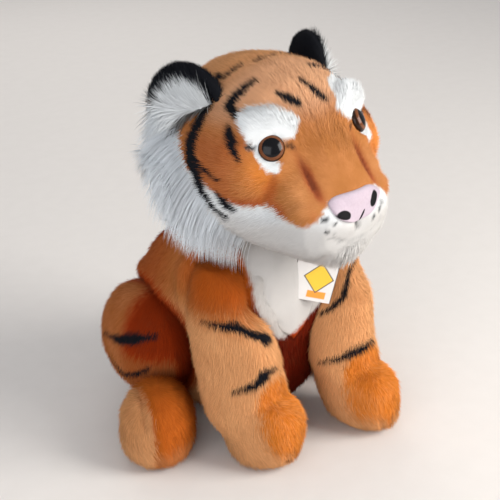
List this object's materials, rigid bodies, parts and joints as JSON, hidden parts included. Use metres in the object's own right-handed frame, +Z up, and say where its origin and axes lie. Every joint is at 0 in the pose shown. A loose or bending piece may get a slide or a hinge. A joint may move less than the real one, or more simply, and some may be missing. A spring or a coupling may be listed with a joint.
{
  "type": "plush tiger",
  "caption": "Sitting plush tiger with striped orange pile, white ruff and bib, domed eyes, weighted seat and a small swing tag.",
  "frame": {"origin": "a point on the flat seat of the torso, below the neck seam, on the surface that the toy sits on", "axes": "+Z up, -Y the way the chest faces, +X the toy's own left"},
  "size_m": [0.2716, 0.255, 0.282],
  "materials": {
    "torso_cover": "short plush pile",
    "head_cover": "short plush pile",
    "foreleg_cover_left": "short plush pile",
    "thigh_cover_left": "short plush pile",
    "hind_paw_cover_left": "short plush pile",
    "foreleg_cover_right": "short plush pile",
    "thigh_cover_right": "short plush pile",
    "hind_paw_cover_right": "short plush pile",
    "tail": "short plush pile",
    "tail_tip": "short plush pile",
    "chest_bib": "longer plush pile",
    "chin_panel": "short plush pile",
    "jaw_panel_left": "short plush pile",
    "brow_patch_left": "short plush pile",
    "under_eye_patch_left": "short plush pile",
    "cheek_ruff_left": "long combed pile",
    "ear_lining_left": "short plush pile",
    "ear_back_left": "short plush pile",
    "eye_left": "moulded, polished dome on a ribbed shank",
    "eye_washer_left": "moulded",
    "foreleg_stuffing_left": "loose polyester fibre",
    "thigh_stuffing_left": "loose polyester fibre",
    "hind_paw_stuffing_left": "loose polyester fibre",
    "jaw_panel_right": "short plush pile",
    "brow_patch_right": "short plush pile",
    "under_eye_patch_right": "short plush pile",
    "cheek_ruff_right": "long combed pile",
    "ear_lining_right": "short plush pile",
    "ear_back_right": "short plush pile",
    "eye_right": "moulded, polished dome on a ribbed shank",
    "eye_washer_right": "moulded",
    "foreleg_stuffing_right": "loose polyester fibre",
    "thigh_stuffing_right": "loose polyester fibre",
    "hind_paw_stuffing_right": "loose polyester fibre",
    "nose": "fine short velour",
    "torso_stuffing": "loose polyester fibre",
    "head_stuffing": "loose polyester fibre",
    "pellet_bag": "thin cotton bag of plastic pellets",
    "tag_loop": "thin moulded staple",
    "tag_card": "printed card"
  },
  "bodies": {
    "torso": {"torso_cover": "torso_cover", "torso_stuffing": "torso_stuffing", "pellet_bag": "pellet_bag", "chest_bib": "chest_bib", "tag_loop": "tag_loop"},
    "head": {"head_cover": "head_cover", "head_stuffing": "head_stuffing", "nose": "nose", "chin_panel": "chin_panel", "jaw_panel_left": "jaw_panel_left", "jaw_panel_right": "jaw_panel_right", "brow_patch_left": "brow_patch_left", "brow_patch_right": "brow_patch_right", "under_eye_patch_left": "under_eye_patch_left", "under_eye_patch_right": "under_eye_patch_right", "cheek_ruff_left": "cheek_ruff_left", "cheek_ruff_right": "cheek_ruff_right", "eye_left": "eye_left", "eye_right": "eye_right", "eye_washer_left": "eye_washer_left", "eye_washer_right": "eye_washer_right"},
    "tail": {"tail": "tail", "tail_tip": "tail_tip"},
    "tag": {"tag_card": "tag_card"},
    "ear_left": {"ear_back_left": "ear_back_left", "ear_lining_left": "ear_lining_left"},
    "foreleg_left": {"foreleg_cover_left": "foreleg_cover_left", "foreleg_stuffing_left": "foreleg_stuffing_left"},
    "hind_leg_left": {"thigh_cover_left": "thigh_cover_left", "thigh_stuffing_left": "thigh_stuffing_left", "hind_paw_cover_left": "hind_paw_cover_left", "hind_paw_stuffing_left": "hind_paw_stuffing_left"},
    "ear_right": {"ear_back_right": "ear_back_right", "ear_lining_right": "ear_lining_right"},
    "foreleg_right": {"foreleg_cover_right": "foreleg_cover_right", "foreleg_stuffing_right": "foreleg_stuffing_right"},
    "hind_leg_right": {"thigh_cover_right": "thigh_cover_right", "thigh_stuffing_right": "thigh_stuffing_right", "hind_paw_cover_right": "hind_paw_cover_right", "hind_paw_stuffing_right": "hind_paw_stuffing_right"}
  },
  "joints": [
    {"name": "head_turn", "type": "hinge", "parent": "torso", "child": "head", "pos_m": [0, -0.004, 0.156], "axis": [0, 0, 1], "range_deg": [-25, 25], "stiffness_Nm_per_rad": 0.03},
    {"name": "foreleg_left_swing", "type": "hinge", "parent": "torso", "child": "foreleg_left", "pos_m": [0.034, -0.028, 0.118], "axis": [-1, 0, 0], "range_deg": [0, 35], "stiffness_Nm_per_rad": 0.03},
    {"name": "foreleg_right_swing", "type": "hinge", "parent": "torso", "child": "foreleg_right", "pos_m": [-0.034, -0.028, 0.118], "axis": [-1, 0, 0], "range_deg": [0, 35], "stiffness_Nm_per_rad": 0.03},
    {"name": "hind_leg_left_raise", "type": "hinge", "parent": "torso", "child": "hind_leg_left", "pos_m": [0.046, 0.045, 0.057], "axis": [-1, 0, 0], "range_deg": [0, 24], "stiffness_Nm_per_rad": 0.03},
    {"name": "hind_leg_right_raise", "type": "hinge", "parent": "torso", "child": "hind_leg_right", "pos_m": [-0.046, 0.045, 0.057], "axis": [-1, 0, 0], "range_deg": [0, 24], "stiffness_Nm_per_rad": 0.03},
    {"name": "ear_left_fold", "type": "hinge", "parent": "head", "child": "ear_left", "pos_m": [0.05638, 0.00515, 0.25158], "axis": [0.3223, 0.9466, 0], "range_deg": [-15, 15], "stiffness_Nm_per_rad": 0.01},
    {"name": "ear_right_fold", "type": "hinge", "parent": "head", "child": "ear_right", "pos_m": [-0.05711, -0.00518, 0.25158], "axis": [-0.4879, 0.8729, 0], "range_deg": [-15, 15], "stiffness_Nm_per_rad": 0.01},
    {"name": "tail_swing", "type": "hinge", "parent": "torso", "child": "tail", "pos_m": [0, 0.09663, 0.01395], "axis": [0, 0, 1], "range_deg": [-3, 50], "stiffness_Nm_per_rad": 0.01},
    {"name": "tag_swing", "type": "hinge", "parent": "torso", "child": "tag", "pos_m": [0.011, -0.05266, 0.138], "axis": [-1, 0, 0], "range_deg": [0, 25]}
  ]
}
